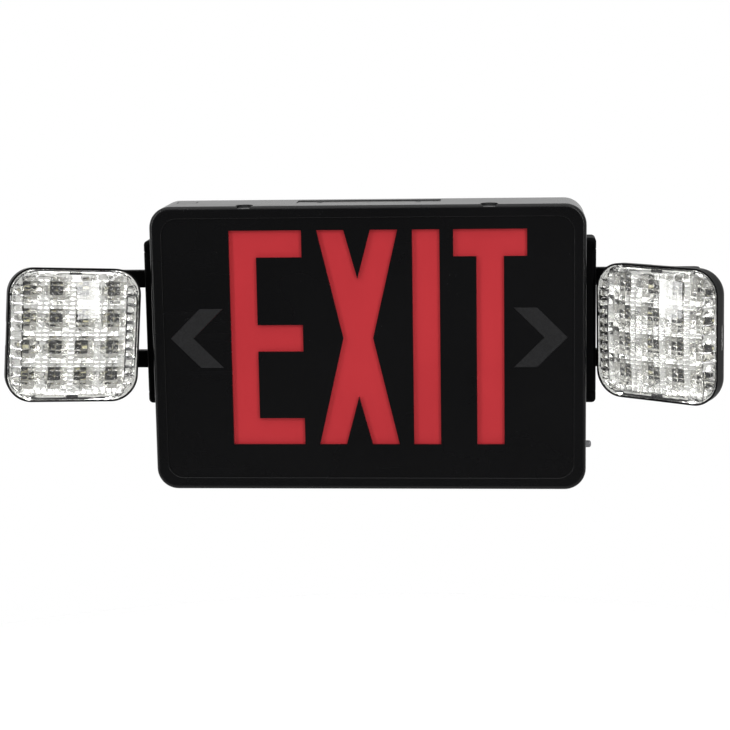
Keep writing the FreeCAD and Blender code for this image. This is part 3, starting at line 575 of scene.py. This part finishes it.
def pillow_column(x0, x1, base_z, height, rows, front_y, back_y, steps, split=False):
    """One column of cells; the rear face of each is raised in steps into a rounded pillow.

    A split cell has an edge round its middle, so that it meets the corners of two lower cells.
    """
    cell = add_box("lenslet", (x0, front_y, base_z), (x1, back_y, base_z + height))
    pick_faces(cell, lambda face: face.normal.y > 0.5)
    for inset, rise in steps:
        act(cell, bpy.ops.mesh.inset, thickness=inset)
        act(cell, bpy.ops.transform.translate, value=(0, rise, 0))
    if split:
        act(cell, bpy.ops.mesh.select_all, action="SELECT")
        act(cell, bpy.ops.mesh.bisect, plane_co=(0, 0, base_z + height / 2), plane_no=(0, 0, 1))
    return modify(cell, "ARRAY", count=rows, use_relative_offset=False, use_constant_offset=True,
                  constant_offset_displace=(0, 0, height))


def lenslet_sheet(half, centre_z, front_y, back_y):
    """A slab whose rear face is a field of pillow lenslets between two borders of long ribs."""
    inner = half - LENS_BORDER
    reach = half - LENS_MARGIN
    columns = round(2 * inner / LENSLET_WIDTH)
    rows = 2 * round(reach / LENSLET_HEIGHT)
    width = 2 * inner / columns
    height = 2 * reach / rows
    base = centre_z - reach
    field = pillow_column(-inner, -inner + width, base, height, rows, front_y, back_y, LENSLET_STEPS)
    modify(field, "ARRAY", count=columns, use_relative_offset=False, use_constant_offset=True,
           constant_offset_displace=(width, 0, 0))
    left = pillow_column(-half, -inner, base, 2 * height, rows // 2, front_y, back_y, RIB_STEPS, True)
    right = pillow_column(inner, half, base, 2 * height, rows // 2, front_y, back_y, RIB_STEPS, True)
    bpy.ops.object.select_all(action="DESELECT")
    for part in (left, right, field):
        part.select_set(True)
    bpy.context.view_layer.objects.active = field
    bpy.ops.object.join()
    pick_faces(field, lambda face: is_partition(face, half, reach, centre_z))
    act(field, bpy.ops.mesh.delete, type="FACE")
    act(field, bpy.ops.mesh.select_all, action="SELECT")
    act(field, bpy.ops.mesh.remove_doubles, threshold=MERGED)
    return field


def is_partition(face, half, reach, centre_z):
    """A wall between neighbouring cells, which the one-piece slab doesn't have."""
    upright = abs(face.normal.y) < 0.01
    at_side = abs(abs(face.center.x) - half) < TOUCHING
    at_end = abs(abs(face.center.z - centre_z) - reach) < TOUCHING
    return upright and not at_side and not at_end


def follow_crown(piece, radius, centre_z):
    """Lean a flat sheet back towards its rim as the crowned face does."""
    for vertex in piece.data.vertices:
        reach_squared = vertex.co.x ** 2 + (vertex.co.z - centre_z) ** 2
        vertex.co.y += radius - math.sqrt(radius ** 2 - reach_squared)


def crown_radius(shell, centre_z):
    """Radius of the sphere through the lens's outer face, from its apex and the face's edge."""
    apex = extent(shell, 1)[0]
    face = [v.co for v in shell.data.vertices if v.co.y < apex + LENS_CROWN_LIMIT]
    reach, rise = max((math.hypot(co.x, co.z - centre_z), co.y - apex) for co in face)
    return (reach ** 2 + rise ** 2) / (2 * rise)


def ribbed_lens(half, centre_z, plate_y):
    """The clear cover: its packed shell, joined with the lenslets on its inside, with shorter tabs."""
    shell = local_copy("left_lens", "ribbed_lens", "left")
    apex = extent(shell, 1)[0]
    sheet = lenslet_sheet(half - SHEET_INSET, centre_z, apex + SHEET_FRONT, apex + SHEET_BACK)
    follow_crown(sheet, crown_radius(shell, centre_z), centre_z)
    trim = copy_object(shell, "trim")
    act(trim, bpy.ops.mesh.select_all, action="SELECT")
    act(trim, bpy.ops.mesh.convex_hull)
    act(trim, bpy.ops.mesh.select_all, action="SELECT")
    shrink = 1 - SHEET_TRIM / half
    act(trim, bpy.ops.transform.resize, value=(shrink, 1, shrink), center_override=(0, apex, centre_z))
    cut(sheet, trim, "INTERSECT")
    cut(shell, sheet, "UNION")
    for vertex in shell.data.vertices:
        if abs(vertex.co.y - plate_y) < TOUCHING:
            vertex.co.y -= LENS_TRIM
        vertex.co.y = min(vertex.co.y, plate_y + TAB_DEPTH)
    return soften(shell, 22)


def copy_object(source, name):
    piece = source.copy()
    piece.data = source.data.copy()
    piece.name = name
    bpy.context.scene.collection.objects.link(piece)
    return piece


def rounded_ring(name, half, corner, centre_z, front_y, back_y, thickness):
    """Rounded-square band of one thickness, standing between two planes."""
    band = add_box(name, (-half, front_y, centre_z - half), (half, back_y, centre_z + half))
    clear_picks(band, "EDGE")
    for edge in band.data.edges:
        first, second = (band.data.vertices[index].co for index in edge.vertices)
        edge.select = abs(first.y - second.y) > TOUCHING
    act(band, bpy.ops.mesh.bevel, offset=corner, segments=12)
    pick_faces(band, lambda face: abs(face.normal.y) > 0.5)
    act(band, bpy.ops.mesh.delete, type="FACE")
    return modify(band, "SOLIDIFY", thickness=thickness, offset=-1.0, use_even_offset=True)


def chromed_tray(half, centre_z, plate_y):
    """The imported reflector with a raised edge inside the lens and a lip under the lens's edge."""
    plate = local_copy("left_reflector", "chromed_tray", "left")
    inside = half - LENS_WALL - TRAY_GAP
    edge = rounded_ring("raised_edge", inside, LENS_CORNER - LENS_WALL, centre_z,
                        plate_y - TRAY_HEIGHT, plate_y + TRAY_GAP, TRAY_WALL)
    lip = rounded_ring("lip", half + LIP_OVERHANG, LENS_CORNER, centre_z, plate_y - LIP_HEIGHT,
                       plate_y + LIP_SINK, LENS_WALL + TRAY_GAP)
    cut(plate, edge, "UNION")
    cut(plate, lip, "UNION")
    return soften(plate, 30)


def in_every_cup(piece):
    for step in ((CUP_PITCH, 0, 0), (0, 0, CUP_PITCH)):
        modify(piece, "ARRAY", count=CUP_ROWS, use_relative_offset=False, use_constant_offset=True,
               constant_offset_displace=step)
    return piece


def chip_bodies(centre_z, board_y):
    """Square dark chip packages, each on a wider dark round disc, one per cup."""
    bpy.ops.object.select_all(action="DESELECT")
    bpy.ops.mesh.primitive_cylinder_add(vertices=28, radius=PAD_RADIUS, depth=PAD_HEIGHT,
                                        location=(FIRST_CUP, board_y - PAD_HEIGHT / 2, centre_z + FIRST_CUP),
                                        rotation=(math.pi / 2, 0, 0))
    pad = bpy.context.object
    bpy.ops.object.transform_apply(location=True, rotation=True, scale=True)
    half = CHIP_SIZE / 2
    body = add_box("body", (FIRST_CUP - half, board_y - CHIP_HEIGHT, centre_z + FIRST_CUP - half),
                   (FIRST_CUP + half, board_y - PAD_HEIGHT / 2, centre_z + FIRST_CUP + half))
    cut(pad, body, "UNION")
    modify(pad, "BEVEL", width=PAD_HEIGHT / 3, segments=2, limit_method="ANGLE")
    return in_every_cup(pad)


def phosphor_domes(centre_z, board_y):
    """Low yellowish dome in the middle of each chip."""
    bpy.ops.object.select_all(action="DESELECT")
    bpy.ops.mesh.primitive_uv_sphere_add(segments=20, ring_count=10, radius=PHOSPHOR_RADIUS,
                                         location=(FIRST_CUP, board_y - CHIP_HEIGHT, centre_z + FIRST_CUP))
    dome = bpy.context.object
    dome.scale = (1, PHOSPHOR_FLATNESS, 1)
    bpy.ops.object.transform_apply(location=True, rotation=True, scale=True)
    act(dome, bpy.ops.mesh.select_all, action="SELECT")
    act(dome, bpy.ops.mesh.bisect, plane_co=(0, board_y - CHIP_HEIGHT, 0), plane_no=(0, 1, 0),
        clear_outer=True, use_fill=True)
    return soften(in_every_cup(dome), 60)


def lens_catches(half, centre_z, plate_y):
    """The two black catches that show through the lens at the middle of its top and bottom."""
    reach = half - LENS_WALL - TRAY_GAP
    back_y = plate_y - TRAY_HEIGHT - TRAY_GAP / 2
    catch = add_box("lens_catches", (-CATCH_WIDTH / 2, plate_y - CATCH_DEPTH, centre_z - reach),
                    (CATCH_WIDTH / 2, back_y, centre_z - reach + CATCH_HEIGHT))
    modify(catch, "BEVEL", width=CATCH_BEVEL, segments=2)
    return modify(catch, "ARRAY", count=2, use_relative_offset=False, use_constant_offset=True,
                  constant_offset_displace=(0, 0, 2 * reach - CATCH_HEIGHT))


def measure(node, axis):
    """Lowest and highest value of a left-head node along an axis of the head's own frame."""
    piece = local_copy(node, "measured", "left")
    found = extent(piece, axis)
    bpy.data.objects.remove(piece)
    return found


def fit_head_pieces(materials):
    """Each pattern is made once in the head's own frame, and a copy goes to either head."""
    low_z, high_z = measure("left_lens", 2)
    half, centre_z = (high_z - low_z) / 2, (high_z + low_z) / 2
    plate_y = measure("left_reflector", 1)[0]
    board_y = measure("left_led_board", 1)[0]
    patterns = (("ribbed_lens", ribbed_lens(half, centre_z, plate_y), "lens_clear", ("lens",)),
                ("chromed_tray", chromed_tray(half, centre_z, plate_y), "chrome_reflector", ("reflector",)),
                ("chip_bodies", chip_bodies(centre_z, board_y), "switch_black", ("leds",)),
                ("phosphor_domes", phosphor_domes(centre_z, board_y), "led_white", ()),
                ("lens_catches", lens_catches(half, centre_z, plate_y), "head_black", ()))
    for name, pattern, slot, stands_for in patterns:
        for side in SIDES:
            piece = copy_object(pattern, side + "_" + name)
            place_in(piece, head_frame(side))
            replaced = [side + "_" + node for node in stands_for]
            dress(piece, side + "_head", slot, materials[slot], *replaced)
        bpy.data.objects.remove(pattern)


# ---------------------------------------------------------------- chevron knock-outs
def chevron_plugs(materials):
    """The knock-outs swollen until only a hair of a gap is left round them, edges eased."""
    for side in SIDES:
        plug = copy_of(side + "_chevron", side + "_knockout")
        front, back = extent(plug, 1)
        act(plug, bpy.ops.mesh.select_all, action="SELECT")
        act(plug, bpy.ops.mesh.dissolve_limited, angle_limit=math.radians(1))
        act(plug, bpy.ops.mesh.select_all, action="SELECT")
        act(plug, bpy.ops.transform.shrink_fatten, value=KNOCKOUT_GROWTH, use_even_offset=True)
        new_front, new_back = extent(plug, 1)
        act(plug, bpy.ops.mesh.select_all, action="SELECT")
        act(plug, bpy.ops.transform.resize, value=(1, (back - front) / (new_back - new_front), 1),
            center_override=(0, (front + back) / 2, 0))
        modify(plug, "BEVEL", width=KNOCKOUT_BEVEL, segments=2, limit_method="ANGLE")
        dress(plug, "housing", "chevron_black", materials["chevron_black"], side + "_chevron")


# ---------------------------------------------------------------- smooth copies of the moulded shells
def smooth_shell(node, name, body, slot, materials):
    piece = copy_of(node, name)
    smooth(piece)
    dress(piece, body, slot, materials[slot], node)


# ---------------------------------------------------------------- studio
def make_camera():
    yaw, pitch, roll = (math.radians(a) for a in (CAMERA_YAW, CAMERA_PITCH, CAMERA_ROLL))
    forward = Vector((-math.sin(yaw) * math.cos(pitch), math.cos(yaw) * math.cos(pitch), -math.sin(pitch)))
    level = Vector((math.cos(yaw), math.sin(yaw), 0))
    above = level.cross(forward)
    right = math.cos(roll) * level + math.sin(roll) * above
    up = math.cos(roll) * above - math.sin(roll) * level
    data = bpy.data.cameras.new("camera")
    data.lens = CAMERA_LENS
    data.sensor_width = 36.0
    camera = bpy.data.objects.new("camera", data)
    bpy.context.scene.collection.objects.link(camera)
    matrix = Matrix((right, up, -forward)).transposed().to_4x4()
    matrix.translation = CAMERA_PLACE
    camera.matrix_world = matrix
    bpy.context.scene.camera = camera


def softbox(name, target, azimuth, elevation, distance, width, height, power):
    """Rectangular lamp aimed at a point; azimuth 0 is in front of the sign, + to its right."""
    a, e = math.radians(azimuth), math.radians(elevation)
    away = Vector((math.sin(a) * math.cos(e), -math.cos(a) * math.cos(e), math.sin(e)))
    data = bpy.data.lights.new(name, "AREA")
    data.shape = "RECTANGLE"
    data.size, data.size_y = width, height
    data.energy = power
    lamp = bpy.data.objects.new(name, data)
    bpy.context.scene.collection.objects.link(lamp)
    lamp.location = Vector(target) + distance * away
    lamp.rotation_mode = "QUATERNION"
    lamp.rotation_quaternion = away.to_track_quat("Z", "Y")


def make_world():
    """Plain white wherever it is seen or seen through; mirrors and light find it dimmer in front."""
    world = bpy.data.worlds.new("studio")
    bpy.context.scene.world = world
    world.use_nodes = True
    tree = world.node_tree
    background = tree.nodes["Background"]
    background.inputs["Color"].default_value = (1.0, 1.0, 1.0, 1.0)

    def add(kind, settings, inputs, output=0):
        made = tree.nodes.new(kind)
        for key, value in settings.items():
            setattr(made, key, value)
        for key, value in inputs.items():
            if isinstance(value, (int, float)):
                made.inputs[key].default_value = value
            else:
                tree.links.new(value, made.inputs[key])
        return made.outputs[output]

    direction = add("ShaderNodeTexCoord", {}, {}, "Generated")
    behind = add("ShaderNodeSeparateXYZ", {}, {0: direction}, "Y")
    room = add("ShaderNodeMapRange", {"interpolation_type": "SMOOTHSTEP"},
               {"Value": behind, "From Min": FRONT_EDGES[0], "From Max": FRONT_EDGES[1],
                "To Min": FRONT_LEVEL, "To Max": 1.0})
    path = tree.nodes.new("ShaderNodeLightPath").outputs
    mirrored = add("ShaderNodeMapRange", {}, {"Value": path["Is Glossy Ray"], "To Min": WORLD_LIGHT})
    level = add("ShaderNodeMath", {"operation": "MULTIPLY"}, {0: room, 1: mirrored})
    for ray in ("Is Camera Ray", "Is Transmission Ray"):
        level = add("ShaderNodeMath", {"operation": "MAXIMUM"}, {0: level, 1: path[ray]})
    tree.links.new(level, background.inputs["Strength"])


def make_floor():
    """Large pale floor below the hanging unit; it keeps the unit's soft shadow."""
    low = cad_bounds[0]
    bpy.ops.object.select_all(action="DESELECT")
    bpy.ops.mesh.primitive_circle_add(vertices=96, radius=FLOOR_RADIUS, fill_type="NGON",
                                      location=(0, 0, low.z - FLOOR_DROP))
    floor = bpy.context.object
    floor.name = "studio_floor"
    finish = Finish("floor_white", roughness=0.9, specular_ior_level=0.0, emission_strength=1.0)
    finish.set("Base Color", FLOOR_COLOUR)
    seen = finish.node("ShaderNodeLightPath", {}, {}, "Is Camera Ray")
    finish.set("Emission Color", finish.blend(seen * FLOOR_GLOW, (0.0, 0.0, 0.0), (1.0, 1.0, 1.0)))
    floor.data.materials.append(finish.material)


def make_studio():
    make_camera()
    make_world()
    make_floor()
    for name, azimuth, elevation, distance, width, height, power in LAMPS:
        softbox(name, STUDIO_CENTRE, azimuth, elevation, distance, width, height, power)


# ---------------------------------------------------------------- build
def main():
    make_studio()
    materials = make_materials()
    paint_nodes(materials)
    stencil_cover(materials)
    smooth_shell("back_box", "rear_box", "housing", "housing_black", materials)
    for side in SIDES:
        smooth_shell(side + "_bracket", side + "_fork", "housing", "bracket_black", materials)
        smooth_shell(side + "_swivel", side + "_barrel", side + "_swivel", "bracket_black", materials)
        smooth_shell(side + "_knuckle", side + "_neck", side + "_knuckle", "bracket_black", materials)
        smooth_shell(side + "_casing", side + "_shell", side + "_head", "head_black", materials)
    chevron_plugs(materials)
    fit_head_pieces(materials)
    bpy.context.scene.view_settings.view_transform = "Standard"


main()
